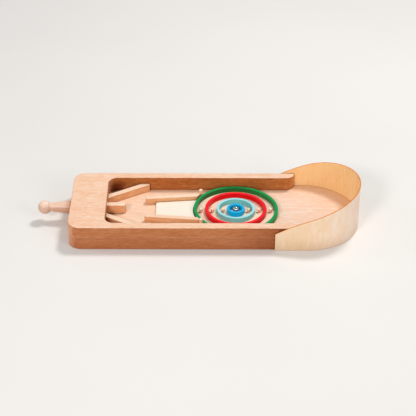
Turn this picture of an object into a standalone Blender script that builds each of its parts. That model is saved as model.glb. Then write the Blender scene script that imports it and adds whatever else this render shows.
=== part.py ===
"""Wooden tabletop shooting board with a hand plunger, a target of painted rings and a bent fence.

A solid beech base carries a one-piece U-shaped frame. The closed end of the frame holds a plunger
that knocks a steel ball along a lane towards four raised rings. A strip of thin plywood, bent round
the far end, catches what flies past. Lengths are in metres, X runs along the board from the handle
to the fence, Y across it and Z up. The origin is under the middle of the whole object.
"""

import math

import bmesh
import bpy
from mathutils import Vector

MM = 0.001

# Fits between pieces
GAP = 0.3 * MM                      # glued and seated faces, each way
BAR_CLEARANCE = 0.4 * MM            # plunger bar in its channel, sides and top
PIN_CLEARANCE = 0.4 * MM            # stop pin in the slot of the bar
CUT_OVERRUN = 2.0 * MM              # cutters pass this far through open faces

# Base board
BASE_LENGTH = 355.6 * MM
BOARD_WIDTH = 130.0 * MM
BASE_THICKNESS = 12.4 * MM
CORNER_RADIUS = 16.0 * MM           # both corners at the handle end
EDGE_RADIUS = 1.2 * MM              # eased upper edges of the frame
BASE_EDGE_RADIUS = 0.5 * MM         # eased lower edge of the base

# U-shaped frame
FRAME_THICKNESS = 17.9 * MM
END_BLOCK_LENGTH = 44.0 * MM
RAIL_WIDTH = 12.0 * MM
RAIL_END_SETBACK = 9.8 * MM         # from the middle of the half-round end
POCKET_CORNER_RADIUS = 12.0 * MM

# Fence of bent plywood
FENCE_THICKNESS = 1.5 * MM
FENCE_LAP_LENGTH = 40.5 * MM        # straight run beside each rail
FENCE_END_HEIGHT = 23.0 * MM
FENCE_TOP_HEIGHT = 58.9 * MM

# Plunger
BAR_WIDTH = 7.8 * MM
BAR_HEIGHT = 11.6 * MM
NOSE_RELIEF = 1.1 * MM              # cut away under the end that stands in the pocket
BAR_REACH = 23.4 * MM               # how far the bar stands into the pocket, pushed in
BAR_CORNER_RADIUS = 2.2 * MM
PLUNGER_TRAVEL = 18.0 * MM
TENON_RADIUS = 3.0 * MM
TENON_LENGTH = 14.0 * MM
TENON_END_ROOM = 1.0 * MM           # glue room at the bottom of the handle's bore
HANDLE_SHOULDER_RADIUS = 8.2 * MM
HANDLE_SHOULDER_ROUNDING = 1.2 * MM
HANDLE_NECK_RADIUS = 5.3 * MM
HANDLE_FLARE_LENGTH = 3.0 * MM      # short straight land behind the shoulder
KNOB_RADIUS = 8.6 * MM
KNOB_CENTRE_DISTANCE = 32.5 * MM    # from the shoulder
STOP_PIN_RADIUS = 1.5 * MM
STOP_PIN_X = 21.0 * MM
STOP_PIN_COVER = 2.8 * MM           # wood left above its hole
STOP_PIN_ROUNDING = 0.3 * MM

# Funnel bars beside the plunger
FUNNEL_BAR_HEIGHT = 9.4 * MM
BAR_EDGE_RADIUS = 0.5 * MM          # all low bars and the plunger bar
FUNNEL_WIDTH = 7.6 * MM
FUNNEL_MOUTH_HALF = 17.2 * MM       # half the opening at the end block
FUNNEL_ANGLE = math.radians(32.5)
FUNNEL_TIP_WIDTH = 2.7 * MM         # square end beside the rail

# Lane bars in front of the rings
LANE_BAR_WIDTH = 6.5 * MM
LANE_BAR_HEIGHT = 8.0 * MM
LANE_START_X = 91.9 * MM
LANE_START_HALF = 17.2 * MM         # half the lane's width where the bars begin
LANE_ANGLE = math.radians(6.1)
LANE_RING_GAP = 0.9 * MM
LANE_CORNER_RADIUS = 2.0 * MM

# Launch plate between the lane bars
PLATE_THICKNESS = 2.8 * MM
PLATE_SETBACK = 12.8 * MM           # from the start of the bars
PLATE_CORNER_RADIUS = 4.0 * MM
PLATE_RING_GAP = 0.5 * MM
PLATE_EDGE_RADIUS = 0.7 * MM

# Target rings
RING_CENTRE_X = 204.4 * MM
RING_HEIGHT = 6.0 * MM
BIG_RING_WALL = 4.1 * MM            # green and red
SMALL_RING_WALL = 3.4 * MM          # light blue and blue
RING_ROUNDING = 0.7 * MM
RING_RAIL_GAP = 0.35 * MM           # from the green ring to each rail
RED_SHARE = 0.728                   # outer radii as shares of the green one
LIGHT_BLUE_SHARE = 0.455
BLUE_SHARE = 0.213

# Dowel pegs
RING_PEG_RADIUS = 1.8 * MM
RING_PEG_HEIGHT = 5.0 * MM
LANE_PEG_RADIUS = 2.2 * MM
LANE_PEG_HEIGHT = 12.0 * MM
LANE_PEG_RING_GAP = 0.4 * MM
LANE_PEG_BAR_GAP = 0.8 * MM
BLIND_HOLE_FLOOR = 6.0 * MM         # wood left under every blind hole of the base
PEG_END_ROOM = 0.6 * MM
PEG_ROUNDING = 0.5 * MM

# Steel ball
BALL_RADIUS = 4.0 * MM

# Smoothness of round shapes
FENCE_STEPS = 72
ROUND_END_STEPS = 64
CORNER_STEPS = 8
BIG_RING_STEPS = 96
SMALL_RING_STEPS = 60
HANDLE_STEPS = 40
PEG_SIDES = 24
HOLE_SIDES = 32
SMOOTH_ANGLE = math.radians(35)

# Values that follow from the sizes above
HALF_WIDTH = BOARD_WIDTH / 2
ROUND_CENTRE_X = BASE_LENGTH - HALF_WIDTH
INNER_HALF = HALF_WIDTH - RAIL_WIDTH
PLAYFIELD_Z = BASE_THICKNESS
SEAT_Z = PLAYFIELD_Z + GAP
FRAME_TOP_Z = SEAT_Z + FRAME_THICKNESS
BAR_BOTTOM_Z = SEAT_Z
AXIS_Z = BAR_BOTTOM_Z + (BAR_HEIGHT + NOSE_RELIEF) / 2
CHANNEL_TOP_Z = BAR_BOTTOM_Z + BAR_HEIGHT + BAR_CLEARANCE
CHANNEL_HALF = BAR_WIDTH / 2 + BAR_CLEARANCE
RAIL_END_X = ROUND_CENTRE_X - RAIL_END_SETBACK
FENCE_START_X = ROUND_CENTRE_X - FENCE_LAP_LENGTH
PLATE_START_X = LANE_START_X + PLATE_SETBACK
GREEN_RADIUS = INNER_HALF - RING_RAIL_GAP
RED_RADIUS = GREEN_RADIUS * RED_SHARE
LIGHT_BLUE_RADIUS = GREEN_RADIUS * LIGHT_BLUE_SHARE
BLUE_RADIUS = GREEN_RADIUS * BLUE_SHARE
KNOB_END_X = -GAP - KNOB_CENTRE_DISTANCE - KNOB_RADIUS
FENCE_RADIUS = HALF_WIDTH + GAP
FENCE_END_X = ROUND_CENTRE_X + FENCE_RADIUS + FENCE_THICKNESS
MIDDLE_X = (KNOB_END_X + FENCE_END_X) / 2


def new_collection(name):
    collection = bpy.data.collections.new(name)
    bpy.context.scene.collection.children.link(collection)
    return collection


def finish(name, colour, roughness, metallic=0.0):
    """A plain Principled material; colour is linear RGB."""
    material = bpy.data.materials.new(name)
    material.use_nodes = True
    shader = material.node_tree.nodes["Principled BSDF"]
    shader.inputs["Base Color"].default_value = (*colour, 1.0)
    shader.inputs["Roughness"].default_value = roughness
    shader.inputs["Metallic"].default_value = metallic
    material.diffuse_color = (*colour, 1.0)
    return material


def arc(centre, radius, start_degrees, end_degrees, steps):
    """Points on an arc in the plane, both ends included."""
    points = []
    for step in range(steps + 1):
        angle = math.radians(start_degrees + (end_degrees - start_degrees) * step / steps)
        points.append((centre[0] + radius * math.cos(angle), centre[1] + radius * math.sin(angle)))
    return points


def rounded(corner, before, after, radius, steps):
    """Replaces a corner between two neighbours by an arc tangent to both sides."""
    corner = Vector(corner)
    to_before = (Vector(before) - corner).normalized()
    to_after = (Vector(after) - corner).normalized()
    half_angle = to_before.angle(to_after) / 2
    centre = corner + (to_before + to_after).normalized() * (radius / math.sin(half_angle))
    first = corner + to_before * (radius / math.tan(half_angle)) - centre
    last = corner + to_after * (radius / math.tan(half_angle)) - centre
    turn = first.angle_signed(last)
    points = []
    for step in range(steps + 1):
        angle = -turn * step / steps
        spoke = Vector((first.x * math.cos(angle) - first.y * math.sin(angle),
                        first.x * math.sin(angle) + first.y * math.cos(angle)))
        points.append(tuple(centre + spoke))
    return points


def mirrored(points):
    """The same outline on the other side of the board's middle line."""
    return [(x, -y) for x, y in reversed(points)]


def add_object(name, mesh, collection, material=None, parent=None, location=(0, 0, 0)):
    thing = bpy.data.objects.new(name, mesh)
    collection.objects.link(thing)
    thing.location = location
    thing.parent = parent
    if material is not None:
        mesh.materials.clear()
        mesh.materials.append(material)
    return thing


def outline_mesh(name, outline, thickness):
    """A flat outline extruded to both sides of its plane, as one closed mesh."""
    curve = bpy.data.curves.new(name, "CURVE")
    curve.dimensions = "2D"
    curve.fill_mode = "BOTH"
    curve.extrude = thickness / 2
    spline = curve.splines.new("POLY")
    spline.points.add(len(outline) - 1)
    for point, (x, y) in zip(spline.points, outline):
        point.co = (x, y, 0, 1)
    spline.use_cyclic_u = True
    drawing = bpy.data.objects.new(name + "_outline", curve)
    bpy.context.scene.collection.objects.link(drawing)
    bpy.context.view_layer.update()
    evaluated = drawing.evaluated_get(bpy.context.evaluated_depsgraph_get())
    mesh = bpy.data.meshes.new_from_object(evaluated)
    bpy.data.objects.remove(drawing)
    mesh.name = name
    shape = bmesh.new()
    shape.from_mesh(mesh)
    bmesh.ops.remove_doubles(shape, verts=shape.verts, dist=GAP / 100)
    bmesh.ops.dissolve_limit(shape, angle_limit=math.radians(0.2), verts=shape.verts,
                             edges=shape.edges)
    bmesh.ops.recalc_face_normals(shape, faces=shape.faces)
    shape.to_mesh(mesh)
    shape.free()
    return mesh


def slab(name, outline, bottom_z, thickness, **place):
    """A plate of the given outline whose underside lies at bottom_z."""
    mesh = outline_mesh(name, outline, thickness)
    return add_object(name, mesh, location=(0, 0, bottom_z + thickness / 2), **place)


def round_rim(thing, width, segments, top=True, bottom=False):
    """Eases the outline edges of a slab's upper or lower face."""
    mesh = thing.data
    weights = mesh.attributes.new("bevel_weight_edge", "FLOAT", "EDGE")
    for edge in mesh.edges:
        first, last = (mesh.vertices[i].co.z for i in edge.vertices)
        if first * last > 0 and abs(first - last) < GAP / 10:
            on_top = first > 0
            weights.data[edge.index].value = float(top if on_top else bottom)
    bevel = thing.modifiers.new("eased_edges", "BEVEL")
    bevel.limit_method = "WEIGHT"
    bevel.width = width
    bevel.segments = segments


def round_all(thing, width, segments):
    """Eases every sharp edge."""
    bevel = thing.modifiers.new("eased_edges", "BEVEL")
    bevel.limit_method = "ANGLE"
    bevel.angle_limit = SMOOTH_ANGLE
    bevel.width = width
    bevel.segments = segments


def cylinder_mesh(name, radius, length, sides):
    """A cylinder along Z about its own middle."""
    mesh = bpy.data.meshes.new(name)
    shape = bmesh.new()
    bmesh.ops.create_cone(shape, cap_ends=True, segments=sides, radius1=radius, radius2=radius,
                          depth=length)
    shape.to_mesh(mesh)
    shape.free()
    return mesh


def box_mesh(name, size):
    """A box about its own middle."""
    mesh = bpy.data.meshes.new(name)
    shape = bmesh.new()
    bmesh.ops.create_cube(shape, size=1)
    bmesh.ops.scale(shape, vec=size, verts=shape.verts)
    shape.to_mesh(mesh)
    shape.free()
    return mesh


def turned(name, profile, steps, closed, **place):
    """Turns a profile of (radius, height) pairs, listed down its outer side, about Z."""
    mesh = bpy.data.meshes.new(name)
    shape = bmesh.new()
    corners = [shape.verts.new((radius, 0, height)) for radius, height in profile]
    for first, last in zip(corners, corners[1:]):
        shape.edges.new((first, last))
    if closed:
        shape.edges.new((corners[-1], corners[0]))
    shape.to_mesh(mesh)
    shape.free()
    thing = add_object(name, mesh, **place)
    screw = thing.modifiers.new("turning", "SCREW")
    screw.steps = steps
    screw.render_steps = steps
    screw.use_merge_vertices = True
    screw.merge_threshold = GAP / 100
    return thing


def cut(thing, cutter):
    """Takes the cutter's shape out of a piece."""
    cutter.hide_render = True
    cutter.display_type = "WIRE"
    boolean = thing.modifiers.new("cut_" + cutter.name, "BOOLEAN")
    boolean.operation = "DIFFERENCE"
    boolean.solver = "EXACT"
    boolean.object = cutter


def shade(thing):
    """Smooth round faces, keeps sharp edges."""
    thing.data.shade_smooth()
    thing.data.set_sharp_from_angle(angle=SMOOTH_ANGLE)


def drill(thing, name, centre, radius, low_z, high_z, cutters, parent):
    """A round vertical hole between two heights."""
    mesh = cylinder_mesh(name, radius, high_z - low_z, HOLE_SIDES)
    place = (centre[0], centre[1], (low_z + high_z) / 2)
    cut(thing, add_object(name, mesh, cutters, parent=parent, location=place))


def ring_peg_places():
    """Middles of the three bands between the rings, on both sides of the centre."""
    outer_band = (GREEN_RADIUS - BIG_RING_WALL + RED_RADIUS) / 2
    middle_band = (RED_RADIUS - BIG_RING_WALL + LIGHT_BLUE_RADIUS) / 2
    inner_band = (LIGHT_BLUE_RADIUS - SMALL_RING_WALL + BLUE_RADIUS) / 2
    offsets = (-outer_band, -middle_band, -inner_band, inner_band, middle_band, outer_band)
    return [RING_CENTRE_X + offset for offset in offsets]


def lane_axes():
    """Directions along the back lane bar and across it, away from the lane."""
    along = Vector((math.cos(LANE_ANGLE), math.sin(LANE_ANGLE)))
    return along, Vector((-along.y, along.x))


def lane_peg_places():
    """Beside the outer corner of each lane bar, just clear of the bar and the green ring."""
    along, across = lane_axes()
    centre = Vector((RING_CENTRE_X, 0))
    start = Vector((LANE_START_X, LANE_START_HALF)) - centre
    aside = start.dot(across) + LANE_BAR_WIDTH + LANE_PEG_BAR_GAP + LANE_PEG_RADIUS
    reach = GREEN_RADIUS + LANE_PEG_RING_GAP + LANE_PEG_RADIUS
    x, y = centre + across * aside - along * math.sqrt(reach ** 2 - aside ** 2)
    return {"back": (x, y), "front": (x, -y)}


def build_base(parts, cutters, parent, material):
    """Base board with one half-round end and blind holes for the pegs and the stop pin."""
    outline = arc((ROUND_CENTRE_X, 0), HALF_WIDTH, -90, 90, ROUND_END_STEPS)
    corner = HALF_WIDTH - CORNER_RADIUS
    outline += arc((CORNER_RADIUS, corner), CORNER_RADIUS, 90, 180, CORNER_STEPS)
    outline += arc((CORNER_RADIUS, -corner), CORNER_RADIUS, 180, 270, CORNER_STEPS)
    base = slab("base_board", outline, 0, BASE_THICKNESS, collection=parts, parent=parent,
                material=material)
    round_rim(base, BASE_EDGE_RADIUS, 2, top=False, bottom=True)
    top = PLAYFIELD_Z + CUT_OVERRUN
    for number, x in enumerate(ring_peg_places(), 1):
        drill(base, f"ring_peg_hole_{number}", (x, 0), RING_PEG_RADIUS + GAP,
              BLIND_HOLE_FLOOR, top, cutters, parent)
    for side, place in lane_peg_places().items():
        drill(base, f"lane_peg_hole_{side}", place, LANE_PEG_RADIUS + GAP,
              BLIND_HOLE_FLOOR, top, cutters, parent)
    drill(base, "stop_pin_hole_base", (STOP_PIN_X, 0), STOP_PIN_RADIUS + GAP,
          BLIND_HOLE_FLOOR, top, cutters, parent)
    shade(base)


def build_frame(parts, cutters, parent, material):
    """One-piece U: end block, two rails with quarter-round ends, channel for the plunger bar."""
    outer = HALF_WIDTH - CORNER_RADIUS
    pocket_x = END_BLOCK_LENGTH + POCKET_CORNER_RADIUS
    pocket_y = INNER_HALF - POCKET_CORNER_RADIUS
    rail_centre_x = RAIL_END_X - RAIL_WIDTH
    back_half = arc((rail_centre_x, HALF_WIDTH), RAIL_WIDTH, -90, 0, CORNER_STEPS)
    back_half += arc((CORNER_RADIUS, outer), CORNER_RADIUS, 90, 180, CORNER_STEPS)
    inner_half = arc((pocket_x, pocket_y), POCKET_CORNER_RADIUS, 180, 90, CORNER_STEPS)
    outline = mirrored(inner_half) + inner_half + back_half + mirrored(back_half)
    frame = slab("side_frame", outline, SEAT_Z, FRAME_THICKNESS, collection=parts, parent=parent,
                 material=material)
    round_rim(frame, EDGE_RADIUS, 2)
    channel_length = END_BLOCK_LENGTH + 2 * CUT_OVERRUN
    channel_bottom = SEAT_Z - CUT_OVERRUN
    channel = box_mesh("plunger_channel",
                       (channel_length, 2 * CHANNEL_HALF, CHANNEL_TOP_Z - channel_bottom))
    channel_place = (END_BLOCK_LENGTH / 2, 0, (CHANNEL_TOP_Z + channel_bottom) / 2)
    cut(frame, add_object("plunger_channel", channel, cutters, parent=parent,
                          location=channel_place))
    drill(frame, "stop_pin_hole_frame", (STOP_PIN_X, 0), STOP_PIN_RADIUS + GAP,
          CHANNEL_TOP_Z - CUT_OVERRUN, FRAME_TOP_Z - STOP_PIN_COVER, cutters, parent)
    shade(frame)


def fence_path(distance):
    """Place of the fence's inner face at a distance along the strip, from its front end."""
    straight = ROUND_CENTRE_X - FENCE_START_X
    bend = math.pi * FENCE_RADIUS
    if distance < straight:
        return FENCE_START_X + distance, -FENCE_RADIUS
    if distance > straight + bend:
        return ROUND_CENTRE_X - (distance - straight - bend), FENCE_RADIUS
    angle = (distance - straight) / FENCE_RADIUS - math.pi / 2
    return ROUND_CENTRE_X + FENCE_RADIUS * math.cos(angle), FENCE_RADIUS * math.sin(angle)


def build_fence(parts, parent, material):
    """Plywood strip whose top edge is one wide arc, bent round the end of the base."""
    length = 2 * (ROUND_CENTRE_X - FENCE_START_X) + math.pi * FENCE_RADIUS
    rise = FENCE_TOP_HEIGHT - FENCE_END_HEIGHT
    top_radius = (length ** 2 / 4 + rise ** 2) / (2 * rise)
    mesh = bpy.data.meshes.new("curved_fence")
    shape = bmesh.new()
    bmesh.ops.create_grid(shape, x_segments=FENCE_STEPS, y_segments=1, size=0.5)
    for vertex in shape.verts:
        distance = (vertex.co.x + 0.5) * length
        from_middle = distance - length / 2
        height = FENCE_TOP_HEIGHT - top_radius + math.sqrt(top_radius ** 2 - from_middle ** 2)
        x, y = fence_path(distance)
        vertex.co = (x, y, (vertex.co.y + 0.5) * height)
    bmesh.ops.recalc_face_normals(shape, faces=shape.faces)
    shape.to_mesh(mesh)
    shape.free()
    fence = add_object("curved_fence", mesh, parts, material, parent)
    shell = fence.modifiers.new("plywood", "SOLIDIFY")
    shell.thickness = FENCE_THICKNESS
    middle_face = max(mesh.polygons, key=lambda face: face.center.x)
    shell.offset = 1 if middle_face.normal.x > 0 else -1
    shade(fence)


def build_handle(parts, parent, material):
    """Turned handle: ball knob, narrow neck and a taper that widens to the shoulder."""
    neck_rise = math.sqrt(KNOB_RADIUS ** 2 - HANDLE_NECK_RADIUS ** 2)
    neck_degrees = math.degrees(math.atan2(-neck_rise, HANDLE_NECK_RADIUS))
    profile = arc((0, KNOB_CENTRE_DISTANCE), KNOB_RADIUS, 90, neck_degrees, 14)
    profile[0] = (0, KNOB_CENTRE_DISTANCE + KNOB_RADIUS)
    profile.append((HANDLE_SHOULDER_RADIUS, HANDLE_FLARE_LENGTH))
    land = HANDLE_SHOULDER_RADIUS - HANDLE_SHOULDER_ROUNDING
    profile += arc((land, HANDLE_SHOULDER_ROUNDING), HANDLE_SHOULDER_ROUNDING, 0, -90, 4)
    bore = TENON_RADIUS + GAP
    bore_depth = TENON_LENGTH + TENON_END_ROOM
    profile += [(bore, 0), (bore, bore_depth), (0, bore_depth)]
    handle = turned("plunger_handle", profile, HANDLE_STEPS, False, collection=parts,
                    material=material, parent=parent, location=(-GAP, 0, 0))
    handle.rotation_euler = (0, math.radians(-90), 0)
    shade(handle)


def build_plunger_bar(parts, cutters, parent, material):
    """Bar with a relieved nose, a slot for the stop pin and a round tenon for the handle."""
    length = END_BLOCK_LENGTH + BAR_REACH
    half = BAR_WIDTH / 2
    corner = BAR_CORNER_RADIUS
    outline = [(0, half), (0, -half)]
    outline += arc((length - corner, corner - half), corner, -90, 0, 4)
    outline += arc((length - corner, half - corner), corner, 0, 90, 4)
    mesh = outline_mesh("plunger_bar", outline, BAR_HEIGHT)
    bar = add_object("plunger_bar", mesh, parts, material, parent, (0, 0, -NOSE_RELIEF / 2))
    round_all(bar, BAR_EDGE_RADIUS, 2)
    relief = box_mesh("nose_relief", (BAR_REACH + CUT_OVERRUN, BAR_WIDTH + CUT_OVERRUN,
                                      2 * NOSE_RELIEF))
    relief_place = (END_BLOCK_LENGTH + (BAR_REACH + CUT_OVERRUN) / 2, 0,
                    -(BAR_HEIGHT + NOSE_RELIEF) / 2)
    cut(bar, add_object("nose_relief", relief, cutters, parent=parent, location=relief_place))
    overlap = BAR_CORNER_RADIUS
    tenon = cylinder_mesh("tenon", TENON_RADIUS, TENON_LENGTH + overlap, HOLE_SIDES)
    tenon_object = add_object("tenon", tenon, cutters, parent=parent,
                              location=((overlap - TENON_LENGTH) / 2, 0, 0))
    tenon_object.rotation_euler = (0, math.radians(90), 0)
    tenon_object.hide_render = True
    tenon_object.display_type = "WIRE"
    union = bar.modifiers.new("tenon", "BOOLEAN")
    union.operation = "UNION"
    union.solver = "EXACT"
    union.object = tenon_object
    room = STOP_PIN_RADIUS + PIN_CLEARANCE
    slot = arc((STOP_PIN_X + PLUNGER_TRAVEL, 0), room, -90, 90, 8)
    slot += arc((STOP_PIN_X, 0), room, 90, 270, 8)
    slot_mesh = outline_mesh("stop_slot", slot, BAR_HEIGHT + 2 * CUT_OVERRUN)
    cut(bar, add_object("stop_slot", slot_mesh, cutters, parent=parent))
    shade(bar)


def build_stop_pin(parts, parent, material):
    """Hidden dowel that stands in base and frame and crosses the slot of the bar."""
    low = BLIND_HOLE_FLOOR + GAP
    high = FRAME_TOP_Z - STOP_PIN_COVER - GAP
    mesh = cylinder_mesh("plunger_stop_pin", STOP_PIN_RADIUS, high - low, PEG_SIDES)
    pin = add_object("plunger_stop_pin", mesh, parts, material, parent,
                     (STOP_PIN_X, 0, (low + high) / 2))
    round_all(pin, STOP_PIN_ROUNDING, 2)
    shade(pin)


def build_funnel_bars(parts, parent, material):
    """Two low bars that lead from the pocket's corners to the plunger."""
    wall_x = END_BLOCK_LENGTH + GAP
    rail_y = INNER_HALF - GAP
    slope = math.tan(FUNNEL_ANGLE)
    mouth = FUNNEL_MOUTH_HALF
    tip_y = rail_y - FUNNEL_TIP_WIDTH
    tip_x = wall_x + (tip_y - mouth) / slope
    far = mouth + FUNNEL_WIDTH / math.cos(FUNNEL_ANGLE)
    outline = [(wall_x, far), (wall_x, mouth), (tip_x, tip_y), (tip_x, rail_y),
               (wall_x + (rail_y - far) / slope, rail_y)]
    for side, points in (("back", outline), ("front", mirrored(outline))):
        bar = slab(f"funnel_bar_{side}", points, SEAT_Z, FUNNEL_BAR_HEIGHT, collection=parts,
                   parent=parent, material=material)
        round_all(bar, BAR_EDGE_RADIUS, 2)
        shade(bar)


def lane_inner_line(x):
    """Half the lane's width at x."""
    return LANE_START_HALF + (x - LANE_START_X) * math.tan(LANE_ANGLE)


def build_lane_bars(parts, parent, material):
    """Two low bars that open towards the rings, their ends cut along the green ring."""
    along, across = lane_axes()
    inner = Vector((LANE_START_X, LANE_START_HALF))
    outer = inner + across * LANE_BAR_WIDTH
    centre = Vector((RING_CENTRE_X, 0))
    reach = GREEN_RADIUS + LANE_RING_GAP
    start = (inner + outer) / 2 - centre
    nearest = -start.dot(along)
    before = math.sqrt(nearest ** 2 - start.length_squared + reach ** 2)
    facing = (start + along * (nearest - before)).normalized()
    ends = []
    for corner in (inner, outer):
        distance = (reach - (corner - centre).dot(facing)) / along.dot(facing)
        ends.append(corner + along * distance)
    near, far = ends
    outline = rounded(outer, far, inner, LANE_CORNER_RADIUS, 4)
    outline += rounded(inner, outer, near, LANE_CORNER_RADIUS, 4)
    outline += [tuple(near), tuple(far)]
    for side, points in (("back", outline), ("front", mirrored(outline))):
        bar = slab(f"lane_bar_{side}", points, SEAT_Z, LANE_BAR_HEIGHT, collection=parts,
                   parent=parent, material=material)
        round_all(bar, BAR_EDGE_RADIUS, 2)
        shade(bar)


def build_plate(parts, parent, material):
    """Thin pale plate that fills the lane and ends in a hollow curve round the green ring."""
    aside = GAP / math.cos(LANE_ANGLE)
    start = (PLATE_START_X, lane_inner_line(PLATE_START_X) - aside)
    reach = GREEN_RADIUS + PLATE_RING_GAP
    side_distance = (lane_inner_line(RING_CENTRE_X) - aside) * math.cos(LANE_ANGLE)
    end_angle = math.pi - math.asin(side_distance / reach) + LANE_ANGLE
    end = (RING_CENTRE_X + reach * math.cos(end_angle), reach * math.sin(end_angle))
    outline = rounded(start, end, (PLATE_START_X, 0), PLATE_CORNER_RADIUS, 6)
    outline += mirrored(outline)
    turn = math.degrees(end_angle)
    outline += arc((RING_CENTRE_X, 0), reach, 360 - turn, turn, 20)
    plate = slab("launch_plate", outline, SEAT_Z, PLATE_THICKNESS, collection=parts, parent=parent,
                 material=material)
    round_rim(plate, PLATE_EDGE_RADIUS, 2)
    shade(plate)


def build_ring(name, radius, wall, steps, parts, parent, material):
    """Flat painted ring with rounded upper edges."""
    inside = radius - wall
    soft = RING_ROUNDING
    profile = arc((radius - soft, RING_HEIGHT - soft), soft, 90, 0, 2)
    profile += [(radius, 0), (inside, 0)]
    profile += arc((inside + soft, RING_HEIGHT - soft), soft, 180, 90, 2)
    ring = turned(name, profile, steps, True, collection=parts, material=material, parent=parent,
                  location=(RING_CENTRE_X, 0, SEAT_Z))
    shade(ring)


def build_peg(name, place, radius, height, parts, parent, material):
    """Dowel that stands in a blind hole of the base."""
    low = BLIND_HOLE_FLOOR + PEG_END_ROOM
    high = PLAYFIELD_Z + height
    mesh = cylinder_mesh(name, radius, high - low, PEG_SIDES)
    peg = add_object(name, mesh, parts, material, parent, (place[0], place[1], (low + high) / 2))
    round_all(peg, PEG_ROUNDING, 2)
    shade(peg)


def build_ball(parts, parent, material):
    mesh = bpy.data.meshes.new("steel_ball")
    shape = bmesh.new()
    bmesh.ops.create_uvsphere(shape, u_segments=28, v_segments=18, radius=BALL_RADIUS)
    shape.to_mesh(mesh)
    shape.free()
    ball = add_object("steel_ball", mesh, parts, material, parent)
    shade(ball)


def empty(name, collection, location, parent=None):
    marker = bpy.data.objects.new(name, None)
    collection.objects.link(marker)
    marker.location = location
    marker.parent = parent
    return marker


def build():
    for thing in list(bpy.data.objects):
        bpy.data.objects.remove(thing)
    parts = new_collection("pachinko_board")
    cutters = new_collection("cutters")
    board = empty("board_datum", parts, (-MIDDLE_X, 0, 0))
    plunger = empty("plunger_axis", parts, (0, 0, AXIS_Z), board)
    ball_seat = empty("ball_rest", parts, (RING_CENTRE_X, 0, SEAT_Z + BALL_RADIUS), board)

    beech = finish("beech", (0.74, 0.47, 0.31), 0.5)
    beech_end = finish("beech_turned", (0.76, 0.50, 0.37), 0.5)
    birch = finish("birch_plywood", (0.80, 0.62, 0.44), 0.55)
    cream = finish("pale_veneer", (0.95, 0.86, 0.72), 0.6)
    green = finish("green_paint", (0.05, 0.36, 0.12), 0.35)
    red = finish("red_paint", (0.85, 0.02, 0.03), 0.35)
    light_blue = finish("light_blue_paint", (0.35, 0.72, 0.82), 0.35)
    blue = finish("blue_paint", (0.01, 0.38, 0.72), 0.35)
    steel = finish("polished_steel", (0.72, 0.72, 0.74), 0.12, 1.0)

    build_base(parts, cutters, board, beech)
    build_frame(parts, cutters, board, beech)
    build_fence(parts, board, birch)
    build_handle(parts, plunger, beech_end)
    build_plunger_bar(parts, cutters, plunger, beech)
    build_stop_pin(parts, board, beech_end)
    build_funnel_bars(parts, board, beech)
    build_lane_bars(parts, board, beech)
    build_plate(parts, board, cream)
    build_ring("ring_green", GREEN_RADIUS, BIG_RING_WALL, BIG_RING_STEPS, parts, board, green)
    build_ring("ring_red", RED_RADIUS, BIG_RING_WALL, BIG_RING_STEPS, parts, board, red)
    build_ring("ring_light_blue", LIGHT_BLUE_RADIUS, SMALL_RING_WALL, SMALL_RING_STEPS, parts,
               board, light_blue)
    build_ring("ring_blue", BLUE_RADIUS, SMALL_RING_WALL, SMALL_RING_STEPS, parts, board, blue)
    for number, x in enumerate(ring_peg_places(), 1):
        build_peg(f"ring_peg_{number}", (x, 0), RING_PEG_RADIUS, RING_PEG_HEIGHT, parts, board,
                  beech_end)
    for side, place in lane_peg_places().items():
        build_peg(f"lane_peg_{side}", place, LANE_PEG_RADIUS, LANE_PEG_HEIGHT, parts, board,
                  beech_end)
    build_ball(parts, ball_seat, steel)


build()
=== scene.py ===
"""Looks of the wooden tabletop shooting board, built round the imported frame.

Every visible piece is remade here with finer edges and its own material. Lengths are in metres, in
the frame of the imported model. Inside the script a piece is drawn in board coordinates, whose X
starts at the board's left end and whose Y and Z are those of the model.
"""

import math

import bmesh
import bpy
from mathutils import Matrix, Vector


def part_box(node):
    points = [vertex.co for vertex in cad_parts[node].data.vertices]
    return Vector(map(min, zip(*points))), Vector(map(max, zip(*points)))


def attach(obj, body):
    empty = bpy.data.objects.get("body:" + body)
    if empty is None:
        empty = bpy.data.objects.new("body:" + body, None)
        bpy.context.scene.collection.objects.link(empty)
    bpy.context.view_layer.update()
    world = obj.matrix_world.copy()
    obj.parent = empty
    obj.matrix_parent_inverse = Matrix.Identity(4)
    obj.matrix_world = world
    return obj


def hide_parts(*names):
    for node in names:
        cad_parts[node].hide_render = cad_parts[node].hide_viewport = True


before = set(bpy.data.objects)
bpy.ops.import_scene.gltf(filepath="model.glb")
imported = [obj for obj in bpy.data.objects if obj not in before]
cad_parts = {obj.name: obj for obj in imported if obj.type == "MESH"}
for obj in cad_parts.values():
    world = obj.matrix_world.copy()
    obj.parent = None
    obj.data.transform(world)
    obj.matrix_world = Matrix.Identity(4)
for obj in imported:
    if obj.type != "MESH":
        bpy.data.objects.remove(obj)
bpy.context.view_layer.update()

MM = 0.001

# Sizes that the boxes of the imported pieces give
board_low, board_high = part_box("base_board")
frame_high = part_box("side_frame")[1]
fence_low, fence_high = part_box("curved_fence")
handle_low, handle_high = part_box("plunger_handle")
bar_low, bar_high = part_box("plunger_bar")
pin_low, pin_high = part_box("plunger_stop_pin")
green_low, green_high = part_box("ring_green")
ball_low, ball_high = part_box("steel_ball")
LEFT = board_low.x
HALF_WIDTH = board_high.y
LENGTH = board_high.x - board_low.x
PLAYFIELD = board_high.z
FRAME_TOP = frame_high.z
ROUND_X = LENGTH - HALF_WIDTH
RAIL_END = frame_high.x - LEFT
RING_X = (green_low.x + green_high.x) / 2 - LEFT
GREEN_RADIUS = (green_high.x - green_low.x) / 2
RING_TOP = green_high.z
AXIS_Z = (handle_low.z + handle_high.z) / 2
PLATE_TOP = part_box("launch_plate")[1].z

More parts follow.
